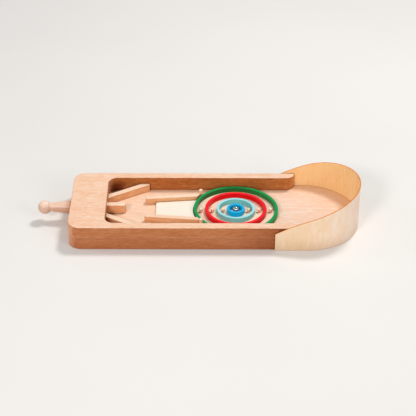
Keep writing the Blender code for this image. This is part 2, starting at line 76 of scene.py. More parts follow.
# Sizes that the boxes don't give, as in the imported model
HAIR = 0.02 * MM
SEAT = PLAYFIELD + HAIR
LAP_START = fence_low.x - LEFT
CORNER_RADIUS = 16 * MM
POCKET_RADIUS = 12 * MM
RAIL_WIDTH = 12 * MM
END_BLOCK = 44 * MM
FENCE_THICKNESS = 1.5 * MM
FENCE_END_HEIGHT = 23.0 * MM
GLUE_GAP = 0.3 * MM
INNER_HALF = HALF_WIDTH - RAIL_WIDTH
FUNNEL_MOUTH = 17.2 * MM
FUNNEL_WIDTH = 7.6 * MM
FUNNEL_ANGLE = math.radians(32.5)
FUNNEL_TIP = 2.7 * MM
LANE_START = 91.9 * MM
LANE_HALF = 17.2 * MM
LANE_WIDTH = 6.5 * MM
LANE_ANGLE = math.radians(6.1)
LANE_RING_GAP = 0.9 * MM
LANE_CORNER = 2 * MM
PLATE_START = 104.7 * MM
PLATE_CORNER = 4 * MM
PLATE_RING_GAP = 0.5 * MM
BIG_WALL = 4.1 * MM
SMALL_WALL = 3.4 * MM
STOP_PIN_X = 21 * MM
STOP_PIN_ROOM = 1.9 * MM
PLUNGER_TRAVEL = 18 * MM
SHOULDER_RADIUS = 8.2 * MM
NECK_RADIUS = 5.3 * MM
KNOB_RADIUS = 8.6 * MM
KNOB_DISTANCE = 32.5 * MM
TENON_RADIUS = 3 * MM
TENON_LENGTH = 14 * MM
TENON_ROOM = 0.1 * MM
CHANNEL_ROOM = 0.4 * MM
JOINT_HEIGHT = 16.9 * MM

# Edges, and the relief under the nose of the bar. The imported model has 1.1 mm there. Less is
# taken here, so that no dark gap shows.
EASED = 1.2 * MM
SOFT = 0.6 * MM
FOOT = 0.5 * MM
CRISP = 0.15 * MM
JOINT = 0.04 * MM
NOSE_RELIEF = 0.45 * MM
SMOOTH_ANGLE = math.radians(35)
CUT_OVERRUN = 2 * MM

# Numbers of flat steps in the curves
END_STEPS = 128
CORNER_STEPS = 20
POCKET_STEPS = 16
HOLE_STEPS = 32
BAR_STEPS = 8
EDGE_STEPS = 5

# Where tones change along the board, in millimetres from its left end
TOP_CHANGE = (110, 290)
SIDE_CHANGE = (185, 262)
# Where the painted warm shade by the fence's round end sets in
WARM_SHADE_CHANGE = (262, 292)
LAP_CHANGE = (LAP_START / MM + 1, LAP_START / MM + 8)
ROUND_CHANGE = ((RAIL_END - RAIL_WIDTH) / MM - 1, (RAIL_END - RAIL_WIDTH) / MM)

# How far from the middle line, in millimetres, walls count as the pocket's: along the rails and
# round their ends
INNER_EDGE = INNER_HALF / MM + 1.3
OUTER_EDGE = HALF_WIDTH / MM - 1

# The floor inside the green ring, painted lighter to stand in for light that the rings' walls
# shut out: its edge in millimetres from the middle, and its share
TARGET_EDGE = (GREEN_RADIUS - BIG_WALL / 2) / MM
TARGET_CHANGE = (TARGET_EDGE + 1.5, TARGET_EDGE - 1.5)
TARGET_SHARE = 0.95

# Painted shade in the corners behind the funnel bars and at the foot of the plunger bar: their
# middles, their edges in millimetres from there, and the heights between which they fade
NOOK_X = END_BLOCK + 11 * MM
NOOK_Y = INNER_HALF - 5 * MM
NOOK_CHANGE = (15, 4)
BAR_FOOT_CHANGE = (9, 1)
BAR_FOOT_SQUEEZE = 0.6
NOOK_FADE = (FRAME_TOP / MM - 2, FRAME_TOP / MM - 12)

# The painted shadow beside each ring peg: how far left and in front of the peg's middle, and its
# edge in millimetres
PEG_SHADE_ASIDE = 3.0 * MM
PEG_SHADE_FRONT = 0.8
PEG_SHADE_CHANGE = (2.1, 0.9)

# How far the painted shade in corners looks for neighbours that shut out the light
DEEP_REACH = 12 * MM
CONTACT_REACH = 2.2 * MM
WARM_REACH = 42 * MM

# Colours of the wood, as linear values: faces up, walls, walls towards the fence and so on. The
# walls are darker and warmer than the faces up, partly by their side grain and partly as painted
# shade
TOP = (0.905, 0.614, 0.443)
TOP_FAR = (0.870, 0.590, 0.436)
FIELD_NEAR = (0.925, 0.665, 0.498)
FIELD_FAR = (0.875, 0.655, 0.525)
# Painted light: the floor inside the green ring, lighter than the rest of the floor
FIELD_TARGET_PAINTED_LIGHT = (1.000, 0.820, 0.690)
SIDE = (0.500, 0.180, 0.064)
SIDE_FAR = (0.350, 0.100, 0.026)
# Painted shade on the rails' outer walls where the fence laps them, seen above its top edge
LAP_SHADE = (0.200, 0.050, 0.012)
# Painted shade: the pocket's walls darker and warmer than the outer walls
POCKET_SHADE_SIDE = (0.480, 0.162, 0.038)
END = (0.700, 0.340, 0.190)
END_FAR = (0.640, 0.275, 0.105)
BAR_TOP_TONE = (0.930, 0.700, 0.530)
FRONT_LANE_TOP = (0.905, 0.635, 0.460)
BAR_SIDE = (0.800, 0.430, 0.216)
DOWEL_TOP = (0.980, 0.800, 0.660)
DOWEL_SIDE = (0.960, 0.580, 0.370)
# Painted shade: the ring pegs' sides darker than those of the other pegs
RING_DOWEL_SHADED_SIDE = (0.870, 0.465, 0.265)
# Painted light and shade on the handle: faces looking up or down, and faces looking sideways
KNOB_LIT_TOP = (0.950, 0.710, 0.580)
KNOB_SHADED_SIDE = (0.715, 0.455, 0.330)
PLATE_FACE = (0.905, 0.845, 0.735)
PLATE_SIDE = (0.900, 0.780, 0.600)
PLY_OUTER = (0.90, 0.68, 0.48)
# Painted light: the fence's outer face lighter towards its right end
PLY_OUTER_LIT_FAR = (0.965, 0.76, 0.62)
# Painted reflection: the fence's inner face orange with warm light thrown back by the wood
PLY_INNER_WARM_BOUNCE = (1.00, 0.665, 0.33)
PLY_EDGE = (0.80, 0.262, 0.032)
GLUE_LINE = (0.75, 0.45, 0.28)

# Colours of the paint: for faces up, for walls as painted shade, for the green walls with painted
# light towards the right, and of the wood where the paint has rubbed through, which is also a
# painted highlight along the edges
GREEN_TOP = (0.004, 0.330, 0.085)
GREEN_SHADED_SIDE = (0.018, 0.150, 0.032)
GREEN_LIT_SIDE_RIGHT = (0.024, 0.230, 0.050)
RED_TOP = (0.930, 0.014, 0.024)
RED_SHADED_SIDE = (0.760, 0.001, 0.007)
LIGHT_BLUE_TOP = (0.360, 0.800, 0.900)
LIGHT_BLUE_SHADED_SIDE = (0.195, 0.570, 0.545)
BLUE_TOP = (0.010, 0.480, 0.880)
BLUE_SHADED_SIDE = (0.001, 0.420, 0.800)
# Wood where the paint has rubbed through on edges, which also stands for a painted highlight
WORN_PAINT_AND_EDGE_HIGHLIGHT = (0.90, 0.80, 0.66)

# Colours of the ball and of the stage
STEEL_DARK = (0.49, 0.49, 0.50)
STEEL_LIGHT = (0.65, 0.65, 0.66)
FLOOR_DARK = (0.80, 0.79, 0.77)
FLOOR_LIGHT = (0.83, 0.82, 0.80)
SKY = (0.98, 0.99, 1.0)

# Tints, which multiply a colour
BELOW_GLUE_TINT = (0.93, 0.90, 0.92)
FLECK_TINT = (0.80, 0.62, 0.48)
# Painted shade: the floor close to walls, most by the fence's round end, warmer and darker
WARM_SHADE_TINT = (1.0, 0.87, 0.65)
# Painted shade in the pocket's corners, and painted shadow at the plunger bar's foot
NOOK_SHADE_TINT = (0.34, 0.17, 0.09)
BAR_FOOT_SHADE_TINT = (0.27, 0.13, 0.07)
PEG_SHADE_TINT = (0.36, 0.25, 0.18)
SHAFT_TINT = (0.97, 0.88, 0.82)
# Painted shade on the end of the handle next to the board
HANDLE_END_SHADE_TINT = (0.78, 0.64, 0.56)
FENCE_FOOT_TINT = (0.89, 0.85, 0.82)


def arc(centre, radius, start_degrees, end_degrees, steps):
    """Points on an arc in the plane, both ends included."""
    points = []
    for step in range(steps + 1):
        angle = math.radians(start_degrees + (end_degrees - start_degrees) * step / steps)
        points.append((centre[0] + radius * math.cos(angle), centre[1] + radius * math.sin(angle)))
    return points


def rounded(corner, before, after, radius, steps):
    """An arc that replaces the corner between two neighbours."""
    corner = Vector(corner)
    to_before = (Vector(before) - corner).normalized()
    to_after = (Vector(after) - corner).normalized()
    half_angle = to_before.angle(to_after) / 2
    centre = corner + (to_before + to_after).normalized() * (radius / math.sin(half_angle))
    first = corner + to_before * (radius / math.tan(half_angle)) - centre
    last = corner + to_after * (radius / math.tan(half_angle)) - centre
    turn = first.angle_signed(last)
    points = []
    for step in range(steps + 1):
        angle = -turn * step / steps
        points.append((centre.x + first.x * math.cos(angle) - first.y * math.sin(angle),
                       centre.y + first.x * math.sin(angle) + first.y * math.cos(angle)))
    return points


def mirrored(points):
    """The same outline on the other side of the middle line."""
    return [(x, -y) for x, y in reversed(points)]


def to_object(shape, name, place=None):
    """Turns a bmesh in board coordinates, or in those of place, into an object."""
    bmesh.ops.recalc_face_normals(shape, faces=shape.faces)
    mesh = bpy.data.meshes.new(name)
    shape.to_mesh(mesh)
    shape.free()
    thing = bpy.data.objects.new(name, mesh)
    bpy.context.scene.collection.objects.link(thing)
    thing.matrix_world = Matrix.Translation((LEFT, 0, 0)) @ (place or Matrix.Identity(4))
    return thing


def prism(outline, low, high):
    """A closed outline drawn up from one height to another."""
    shape = bmesh.new()
    bottom = shape.faces.new([shape.verts.new((x, y, low)) for x, y in outline])
    made = bmesh.ops.extrude_face_region(shape, geom=[bottom])
    raised = [v for v in made["geom"] if isinstance(v, bmesh.types.BMVert)]
    bmesh.ops.translate(shape, verts=raised, vec=(0, 0, high - low))
    return shape


def lathe(profile, steps, closed):
    """Turns (radius, height) pairs about Z. A pair with no radius becomes one point."""
    shape = bmesh.new()
    loops = []
    for radius, height in profile:
        if radius == 0:
            loops.append([shape.verts.new((0, 0, height))])
            continue
        loops.append([shape.verts.new((radius * math.cos(2 * math.pi * step / steps),
                                       radius * math.sin(2 * math.pi * step / steps), height))
                      for step in range(steps)])
    pairs = list(zip(loops, loops[1:]))
    if closed:
        pairs.append((loops[-1], loops[0]))
    for upper, lower in pairs:
        for step in range(steps):
            after = (step + 1) % steps
            corners = [upper[step % len(upper)], upper[after % len(upper)],
                       lower[after % len(lower)], lower[step % len(lower)]]
            shape.faces.new(list(dict.fromkeys(corners)))
    return shape


def ease(thing, top=0.0, bottom=0.0, upright=0.0, segments=3):
    """Rounds the upper, lower and upright edges of a prism, each by its own radius."""
    widest = max(top, bottom, upright)
    mesh = thing.data
    heights = [vertex.co.z for vertex in mesh.vertices]
    middle = (min(heights) + max(heights)) / 2
    weights = mesh.attributes.new("bevel_weight_edge", "FLOAT", "EDGE")
    shape = bmesh.new()
    shape.from_mesh(mesh)
    shape.edges.ensure_lookup_table()
    for edge in shape.edges:
        first, last = (vertex.co.z for vertex in edge.verts)
        if abs(first - last) < CRISP:
            radius = top if first > middle else bottom
        else:
            radius = upright if edge.calc_face_angle(0) > SMOOTH_ANGLE else 0
        weights.data[edge.index].value = radius / widest
    shape.free()
    bevel = thing.modifiers.new("eased", "BEVEL")
    bevel.limit_method = "WEIGHT"
    bevel.width = widest
    bevel.segments = segments


def cut(thing, cutter):
    """Cuts one object out of another and keeps only the result."""
    boolean = thing.modifiers.new("cut", "BOOLEAN")
    boolean.operation = "DIFFERENCE"
    boolean.solver = "EXACT"
    boolean.object = cutter
    settle(thing)
    bpy.data.objects.remove(cutter)


def settle(thing):
    """Applies the modifiers."""
    bpy.context.view_layer.update()
    evaluated = thing.evaluated_get(bpy.context.evaluated_depsgraph_get())
    mesh = bpy.data.meshes.new_from_object(evaluated)
    thing.modifiers.clear()
    thing.data = mesh


def dress(thing, material, body, slot, *nodes):
    """Shades a finished piece and ties it to its body and the nodes it stands for. slot is not
    used.
    """
    settle(thing)
    thing.data.materials.clear()
    thing.data.materials.append(material)
    thing.data.shade_smooth()
    thing.data.set_sharp_from_angle(angle=SMOOTH_ANGLE)
    flat = thing.modifiers.new("flat_faces_stay_flat", "WEIGHTED_NORMAL")
    flat.keep_sharp = True
    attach(thing, body)
    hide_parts(*nodes)


class Shader:
    """A material whose nodes are added one call at a time."""

    def __init__(self, name):
        self.material = bpy.data.materials.new(name)
        self.material.use_nodes = True
        self.tree = self.material.node_tree
        self.surface = self.tree.nodes["Principled BSDF"]

    def link(self, source, socket):
        self.tree.links.new(source, socket)

    def node(self, kind, inputs=None, **settings):
        """Adds a node. Inputs are given by name or number, as a value or as another's output."""
        made = self.tree.nodes.new("ShaderNode" + kind)
        for name, value in settings.items():
            setattr(made, name, value)
        for key, value in (inputs or {}).items():
            if isinstance(value, bpy.types.NodeSocket):
                self.link(value, made.inputs[key])
            else:
                made.inputs[key].default_value = value
        return made

    def math(self, operation, first, second=0.0, third=0.0):
        values = {0: first, 1: second, 2: third}
        return self.node("Math", values, operation=operation).outputs[0]

    def weighted(self, first, *others):
        """Sum of values, each given as a pair with its weight."""
        total = self.math("MULTIPLY", *first)
        for value, weight in others:
            total = self.math("MULTIPLY_ADD", value, weight, total)
        return total

    def mix(self, share, first, second, blend="MIX"):
        made = self.node("Mix", {0: share, 6: first, 7: second}, data_type="RGBA",
                         blend_type=blend)
        return made.outputs[2]

    def tint(self, tone, colour, share=1.0):
        """Multiplies a colour by another, which is given as numbers or as an output."""
        if isinstance(colour, tuple):
            colour = rgba(colour)
        return self.mix(share, tone, colour, "MULTIPLY")

    def ramp(self, value, low, high, start=0.0, end=1.0):
        """Maps value from low..high smoothly to start..end."""
        made = self.node("MapRange", {0: value, 1: low, 2: high, 3: start, 4: end},
                         interpolation_type="SMOOTHSTEP")
        return made.outputs[0]

    def place(self, scale, shift=(0, 0, 0)):
        """Object coordinates in millimetres, moved and stretched."""
        source = self.node("TexCoord").outputs["Object"]
        in_mm = self.node("Mapping", {"Vector": source, "Scale": (1000, 1000, 1000),
                                      "Location": shift}).outputs[0]
        return self.node("Mapping", {"Vector": in_mm, "Scale": scale}).outputs[0]

    def noise(self, scale, detail=3.0, roughness=0.55, distortion=0.0, shift=(0, 0, 0)):
        values = {"Vector": self.place(scale, shift), "Scale": 1.0, "Detail": detail,
                  "Roughness": roughness, "Distortion": distortion}
        return self.node("TexNoise", values).outputs[0]

    def facing(self, axis):
        """How far the surface faces along an axis of the object, without sign."""
        normal = self.node("TexCoord").outputs["Normal"]
        parts = self.node("SeparateXYZ", {0: normal})
        return self.math("ABSOLUTE", parts.outputs[axis])

    def spot(self, axis):
        """Where a point lies along an axis of the object, in millimetres."""
        return self.node("SeparateXYZ", {0: self.place((1, 1, 1))}).outputs[axis]

    def openness(self, reach):
        """From 0 deep in a corner to 1 where nothing stands near."""
        return self.node("AmbientOcclusion", {"Distance": reach}, samples=6).outputs["AO"]

    def shaded(self, light, green=1.35, blue=1.8):
        """A grey value as a colour that grows warmer as it grows darker."""
        return self.node("CombineColor", {0: light, 1: self.math("POWER", light, green),
                                          2: self.math("POWER", light, blue)}).outputs[0]

    def paint_crevice_shade(self, tone, depth, widest=0.36, spared=0.0):
        """Paints shade into a colour where the light is shut out: darker deep in corners and,
        thinly, where two pieces meet.

        depth is how much of the light goes in the deepest corners, widest the openness at which
        the painted shade starts, and spared the share of it that a place is spared.
        """
        deepest = self.math("MULTIPLY_ADD", spared, depth, 1.0 - depth)
        deep = self.ramp(self.openness(DEEP_REACH), 0.08, widest, deepest, 1.0)
        contact = self.ramp(self.openness(CONTACT_REACH), 0.30, 0.72, 0.74, 1.0)
        light = self.math("MULTIPLY", deep, contact)
        return self.tint(tone, self.shaded(light, 1.5, 2.1))

    def distance(self, *parts):
        """Length of a vector given by its parts."""
        total = self.math("MULTIPLY", parts[0], parts[0])
        for part in parts[1:]:
            total = self.math("MULTIPLY_ADD", part, part, total)
        return self.math("SQRT", total)

    def bump(self, height, depth):
        """Relief of the given depth in metres."""
        made = self.node("Bump", {"Height": height, "Strength": 1.0, "Distance": depth})
        self.link(made.outputs[0], self.surface.inputs["Normal"])


def rgba(colour):
    return (*colour, 1.0)


def wall_tone(shader, side, end, inner, side_far, joint):
    """Colour of a board's upright faces, and a mask of those of the pocket, on which inner is
    painted shade.
    """
    wall, inside = rgba(side), 0.0
    if side_far is not None:
        wall = shader.mix(shader.ramp(shader.spot(0), *SIDE_CHANGE), wall, rgba(side_far))
        # Painted shade where the fence laps the rails
        wall = shader.mix(shader.ramp(shader.spot(0), *LAP_CHANGE), wall, rgba(LAP_SHADE))
    # Painted shade on the pocket's walls
    if inner is not None:
        limit = shader.ramp(shader.spot(0), *ROUND_CHANGE, INNER_EDGE, OUTER_EDGE)
        beyond = shader.math("SUBTRACT", shader.math("ABSOLUTE", shader.spot(1)), limit)
        inside = shader.ramp(beyond, 0.2, -0.2)
        wall = shader.mix(inside, wall, rgba(inner))
    if end is not None:
        endwise = shader.ramp(shader.facing(0), 0.35, 0.90)
        ends = shader.mix(shader.ramp(shader.spot(0), *SIDE_CHANGE), rgba(end), rgba(END_FAR))
        wall = shader.mix(endwise, wall, ends)
    if joint is not None:
        above = shader.math("SUBTRACT", shader.spot(2), joint / MM)
        wall = shader.mix(shader.ramp(above, 0.2, -0.2), wall,
                          shader.tint(wall, BELOW_GLUE_TINT))
        line = shader.ramp(shader.math("ABSOLUTE", above), 0.15, 0.7, 0.16, 0.0)
        wall = shader.mix(line, wall, rgba(GLUE_LINE))
    return wall, inside


def paint_nook_shade(shader, tone):
    """Paints shade into the corners behind the funnel bars and at the foot of the plunger bar."""
    aside = shader.math("SUBTRACT", shader.spot(0), NOOK_X / MM)
    deep_in = shader.math("SUBTRACT", shader.math("ABSOLUTE", shader.spot(1)), NOOK_Y / MM)
    near_nook = shader.ramp(shader.distance(aside, deep_in), *NOOK_CHANGE)
    below = shader.ramp(shader.spot(2), *NOOK_FADE)
    tone = shader.tint(tone, NOOK_SHADE_TINT, shader.math("MULTIPLY", near_nook, below))
    aside = shader.math("SUBTRACT", shader.spot(0), END_BLOCK / MM)
    aside = shader.math("MULTIPLY", aside, BAR_FOOT_SQUEEZE)
    beside = shader.math("ADD", shader.spot(1), bar_high.y / MM)
    near_bar = shader.ramp(shader.distance(aside, beside), *BAR_FOOT_CHANGE)
    return shader.tint(tone, BAR_FOOT_SHADE_TINT, shader.math("MULTIPLY", near_bar, below))


def paint_peg_shadows(shader, tone, upward):
    """Paints each ring peg's shadow on the floor at the peg's left foot."""
    shade = 0.0
    for node in sorted(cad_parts):
        if "ring_peg_" in node:
            low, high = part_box(node)
            middle = ((low.x + high.x) / 2 - PEG_SHADE_ASIDE - LEFT) / MM
            away = shader.distance(shader.math("SUBTRACT", shader.spot(0), middle),
                                   shader.math("ADD", shader.spot(1), PEG_SHADE_FRONT))
            shade = shader.math("MAXIMUM", shade, shader.ramp(away, *PEG_SHADE_CHANGE))
    return shader.tint(tone, PEG_SHADE_TINT, shader.math("MULTIPLY", shade, upward))


def wood(name, top, side, end=None, shift=(0, 0, 0), contrast=1.0, roughness=0.48, far=None,
         side_far=None, inner=None, painted_light_target=None, joint=None, painted_warm_shade=False, painted_nook_shade=False, depth=0.62,
         widest=0.36, top_swing=0.07):
    """Sanded hardwood with its grain along X: pale faces up and down, darker and warmer faces at
    the sides, partly the side grain's own colour and partly painted shade.

    Faces across the grain may have their own colour, end. inner is painted shade on the walls of
    the pocket, and painted_light_target painted light on the floor inside the green ring. Towards
    the fence the upper face may change to far and the outer walls to side_far. joint is the height
    of a faint glue line. painted_warm_shade paints warmer shade by the fence, and
    painted_nook_shade paints shade in the corners of the pocket. depth and widest are those of the
    painted crevice shade, and top_swing is the strength of the grain on the upper face.
    """
    shader = Shader(name)
    fibres = shader.noise((0.060, 1.5, 1.5), 3, 0.6, 0.3, shift)
    waves = shader.noise((0.125, 0.50, 0.50), 3, 0.6, 0.9, shift)
    streaks = shader.noise((0.018, 0.16, 0.16), 3, 0.55, 1.6, shift)
    broad = shader.noise((0.012, 0.035, 0.035), 2, 0.5, 0.0, shift)
    flecks = shader.noise((0.30, 2.6, 2.6), 2, 0.5, 0.0, shift)
    upward = shader.ramp(shader.facing(2), 0.35, 0.9)
    wall, inside = wall_tone(shader, side, end, inner, side_far, joint)
    upper, spared = rgba(top), 0.0
    if far is not None:
        upper = shader.mix(shader.ramp(shader.spot(0), *TOP_CHANGE), upper, rgba(far))
    # Painted light on the floor inside the green ring, spared most of the deep painted shade
    if painted_light_target is not None:
        aside = shader.math("SUBTRACT", shader.spot(0), RING_X / MM)
        from_centre = shader.distance(aside, shader.spot(1))
        spared = shader.ramp(from_centre, *TARGET_CHANGE, 0.0, TARGET_SHARE)
        upper = shader.mix(spared, upper, rgba(painted_light_target))
    # Faces up take the upper colour and walls the wall colour, darker partly as painted shade
    tone = shader.mix(upward, wall, upper)
    figure = shader.weighted((waves, 0.45), (fibres, 0.15), (streaks, 0.28), (broad, 0.12))
    wall_swing = shader.math("MULTIPLY_ADD", inside, 0.11, 0.235)
    swing = shader.node("MapRange", {0: upward, 3: wall_swing, 4: top_swing}).outputs[0]
    light = shader.math("MULTIPLY_ADD", shader.ramp(figure, 0.36, 0.66, -0.60, 0.40),
                        shader.math("MULTIPLY", swing, contrast), 1.0)
    green_power = shader.math("MULTIPLY_ADD", upward, 2.1, 2.1)
    blue_power = shader.math("MULTIPLY_ADD", upward, 3.9, 3.4)
    tone = shader.tint(tone, shader.shaded(light, green_power, blue_power))
    tone = shader.tint(tone, FLECK_TINT, shader.ramp(flecks, 0.62, 0.74, 0.0, 0.22 * contrast))
    # Painted shade: warmer, darker floor close to walls, most by the fence's round end
    if painted_warm_shade:
        near_wall = shader.ramp(shader.openness(WARM_REACH), 0.80, 0.42)
        round_end = shader.ramp(shader.spot(0), *WARM_SHADE_CHANGE, 0.35, 1.0)
        tone = shader.tint(tone, WARM_SHADE_TINT, shader.math("MULTIPLY", near_wall, round_end))
    # Painted shade in the pocket's corners and at the plunger bar's foot
    if painted_nook_shade:
        tone = paint_nook_shade(shader, tone)
    # Painted shadows of the ring pegs on the floor
    if painted_light_target is not None:
        tone = paint_peg_shadows(shader, tone, upward)
    tone = shader.paint_crevice_shade(tone, depth, widest, spared)
    shader.link(tone, shader.surface.inputs["Base Color"])
    rough = shader.ramp(fibres, 0.3, 0.7, roughness - 0.06, roughness + 0.08)
    shader.link(rough, shader.surface.inputs["Roughness"])
    shader.bump(shader.math("MULTIPLY_ADD", flecks, -0.5, fibres), 0.05 * MM)
    shader.surface.inputs["Specular IOR Level"].default_value = 0.3
    return shader.material


def turned_wood(name, top, side, shift, up=2, depth=0.55, darker_shaft_and_shaded_end=False, gloss=0.36):
    """Turned or dowelled wood with its grain along Z, and up as the axis that faces the sky. Faces
    along up take top and the rest side: on the dowels their end grain and side grain, on the
    handle painted light on faces up or down and painted shade on faces to the side.

    darker_shaft_and_shaded_end darkens the shaft a little and paints shade on the end of the
    handle by the board, depth is that of the painted crevice shade, and gloss is the lowest
    roughness.
    """
    shader = Shader(name)
    fibres = shader.noise((1.6, 1.6, 0.06), 4, 0.6, 0.2, shift)
    broad = shader.noise((0.25, 0.25, 0.02), 2, 0.5, 0.4, shift)
    marks = shader.noise((0.05, 0.05, 4.0), 2, 0.5, 0.0, shift)
    upward = shader.ramp(shader.facing(up), 0.3, 0.9)
    tone = shader.mix(upward, rgba(side), rgba(top))
    figure = shader.weighted((broad, 0.4), (fibres, 0.6))
    light = shader.ramp(figure, 0.36, 0.68, 0.90, 1.04)
    tone = shader.tint(tone, shader.shaded(light, 1.3, 1.6))
    # The shaft a little darker, and painted shade on the handle's end next to the board
    if darker_shaft_and_shaded_end:
        tone = shader.tint(tone, SHAFT_TINT, shader.ramp(shader.spot(2), 26, 20))
        tone = shader.tint(tone, HANDLE_END_SHADE_TINT, shader.ramp(shader.spot(2), 9, 1))
    tone = shader.paint_crevice_shade(tone, depth)
    shader.link(tone, shader.surface.inputs["Base Color"])
    shader.link(shader.ramp(marks, 0.3, 0.7, gloss, gloss + 0.12),
                shader.surface.inputs["Roughness"])
    shader.bump(shader.math("MULTIPLY_ADD", marks, 0.5, fibres), 0.04 * MM)
    return shader.material


def painted(name, top, side, shift, lit_side_right=None):
    """Glossy paint over wood, with painted shade: the walls take a darker copy of the paint
    than the flat top.

    As painted light, the walls may grow lighter towards the right, to lit_side_right.
    """
    shader = Shader(name)
    cloud = shader.noise((0.06, 0.06, 0.06), 3, 0.5, 0.0, shift)
    grain = shader.noise((0.12, 1.4, 1.4), 4, 0.6, 0.3, shift)
    peel = shader.noise((0.9, 0.9, 0.9), 2, 0.5, 0.0, shift)
    upward = shader.ramp(shader.facing(2), 0.25, 0.9)
    wall = rgba(side)
    # Painted light: the walls lighter towards the right
    if lit_side_right is not None:
        wall = shader.mix(shader.ramp(shader.spot(0), 5, 40), wall, rgba(lit_side_right))
    # Painted shade: the walls darker than the flat top
    tone = shader.mix(upward, wall, rgba(top))
    light = shader.ramp(shader.weighted((grain, 0.4), (cloud, 0.6)), 0.35, 0.68, 0.90, 1.05)
    tone = shader.tint(tone, shader.shaded(light, 1.0, 1.0))
    # Patches rubbed through to the wood along the edges: partly real wear, partly painted
    # highlight
    soft = shader.node("Bevel", {"Radius": 0.5 * MM}, samples=6).outputs[0]
    sharp = shader.node("NewGeometry").outputs["Normal"]
    likeness = shader.node("VectorMath", {0: soft, 1: sharp}, operation="DOT_PRODUCT").outputs[1]
    edge = shader.ramp(likeness, 0.97, 0.80, 0.0, 0.22)
    wear_and_highlight = shader.math("MULTIPLY", edge, shader.ramp(peel, 0.45, 0.62))
    tone = shader.mix(wear_and_highlight, tone, rgba(WORN_PAINT_AND_EDGE_HIGHLIGHT))
    shader.link(tone, shader.surface.inputs["Base Color"])
    shader.link(shader.ramp(peel, 0.3, 0.7, 0.26, 0.38), shader.surface.inputs["Roughness"])
    shader.bump(shader.math("MULTIPLY_ADD", grain, 0.6, peel), 0.03 * MM)
    shader.surface.inputs["Specular IOR Level"].default_value = 0.12
    return shader.material


def plywood(name, outer, outer_lit_far, inner, cut_edge):
    """Bent birch ply: upright grain on both faces and a browned, layered cut edge. As painted
    light, the outer face grows lighter along the fence towards outer_lit_far, and the inner face
    has the warm light that the wood round it throws back painted on.
    """
    shader = Shader(name)
    across = shader.node("Attribute", attribute_name="across").outputs["Fac"]
    along = shader.node("Attribute", attribute_name="along").outputs["Fac"]
    height = shader.spot(2)
    spot = shader.node("CombineXYZ", {0: along, 1: shader.math("MULTIPLY", height, 0.30),
                                      2: shader.math("MULTIPLY", across, 31.0)}).outputs[0]
    fibres = shader.node("TexNoise", {"Vector": spot, "Scale": 0.9, "Detail": 4.0,
                                      "Roughness": 0.6, "Distortion": 0.3}).outputs[0]
    waves = shader.node("TexNoise", {"Vector": spot, "Scale": 0.26, "Detail": 3.0,
                                     "Roughness": 0.6, "Distortion": 0.8}).outputs[0]
    broad = shader.node("TexNoise", {"Vector": spot, "Scale": 0.05, "Detail": 2.0,
                                     "Roughness": 0.5, "Distortion": 0.5}).outputs[0]
    # Painted light: the outer face lighter further along the fence
    outside = shader.mix(shader.ramp(along, 20, 130), rgba(outer), rgba(outer_lit_far))
    outside = shader.mix(shader.ramp(height, 22, 0), outside,
                         shader.tint(outside, FENCE_FOOT_TINT))
    # The inner face takes its painted warm reflected light
    tone = shader.mix(shader.ramp(across, 0.3, 0.7), rgba(inner), outside)
    figure = shader.weighted((waves, 0.48), (fibres, 0.22), (broad, 0.30))
    light = shader.ramp(figure, 0.36, 0.66, 0.976, 1.014)
    tone = shader.tint(tone, shader.shaded(light, 4.2, 9.5))
    from_middle = shader.math("ABSOLUTE", shader.math("SUBTRACT", across, 0.5))
    core = shader.ramp(from_middle, 0.15, 0.21, 0.72, 1.0)
    rim = shader.tint(rgba(cut_edge), shader.shaded(core, 1.0, 1.0))
    on_rim = shader.ramp(from_middle, 0.499, 0.47)
    tone = shader.paint_crevice_shade(shader.mix(on_rim, tone, rim), 0.45)
    shader.link(tone, shader.surface.inputs["Base Color"])
    shader.link(shader.ramp(fibres, 0.3, 0.7, 0.46, 0.60), shader.surface.inputs["Roughness"])
    shader.bump(fibres, 0.04 * MM)
    shader.surface.inputs["Specular IOR Level"].default_value = 0.3
    return shader.material


def steel(name):
    """Polished ball: bright metal with faint rolling marks."""
    shader = Shader(name)
    cloud = shader.noise((0.5, 0.5, 0.5), 3, 0.5)
    marks = shader.noise((1.2, 6.0, 9.0), 3, 0.6, 1.5)
    tone = shader.mix(shader.ramp(cloud, 0.3, 0.7), rgba(STEEL_DARK), rgba(STEEL_LIGHT))
    shader.link(tone, shader.surface.inputs["Base Color"])
    shader.link(shader.ramp(marks, 0.35, 0.7, 0.14, 0.26), shader.surface.inputs["Roughness"])
    shader.surface.inputs["Metallic"].default_value = 1.0
    shader.bump(marks, 0.004 * MM)
    return shader.material


def add_drill(shape, low, high, bottom, top):
    """Adds an upright cylinder for the hole of a pin with the given box."""
    middle = (low + high) / 2
    radius = (high.x - low.x) / 2 + HAIR
    spot = (middle.x - LEFT, middle.y, (bottom + top) / 2)
    bmesh.ops.create_cone(shape, cap_ends=True, segments=HOLE_STEPS, radius1=radius,
                          radius2=radius, depth=top - bottom, matrix=Matrix.Translation(spot))


def build_base(material):
    """Base board, with the holes that its pegs and the stop pin stand in."""
    outline = arc((ROUND_X, 0), HALF_WIDTH, -90, 90, END_STEPS)
    corner = HALF_WIDTH - CORNER_RADIUS
    outline += arc((CORNER_RADIUS, corner), CORNER_RADIUS, 90, 180, CORNER_STEPS)
    outline += arc((CORNER_RADIUS, -corner), CORNER_RADIUS, 180, 270, CORNER_STEPS)
    base = to_object(prism(outline, board_low.z, PLAYFIELD), "base_board_wood")
    ease(base, top=JOINT, bottom=FOOT, segments=4)
    drills = bmesh.new()
    pegs = [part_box(node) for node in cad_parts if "_peg_" in node] + [(pin_low, pin_high)]
    for low, high in pegs:
        add_drill(drills, low, high, low.z, PLAYFIELD + CUT_OVERRUN)
    cut(base, to_object(drills, "drills"))
    dress(base, material, "board", "beech", "base_board")


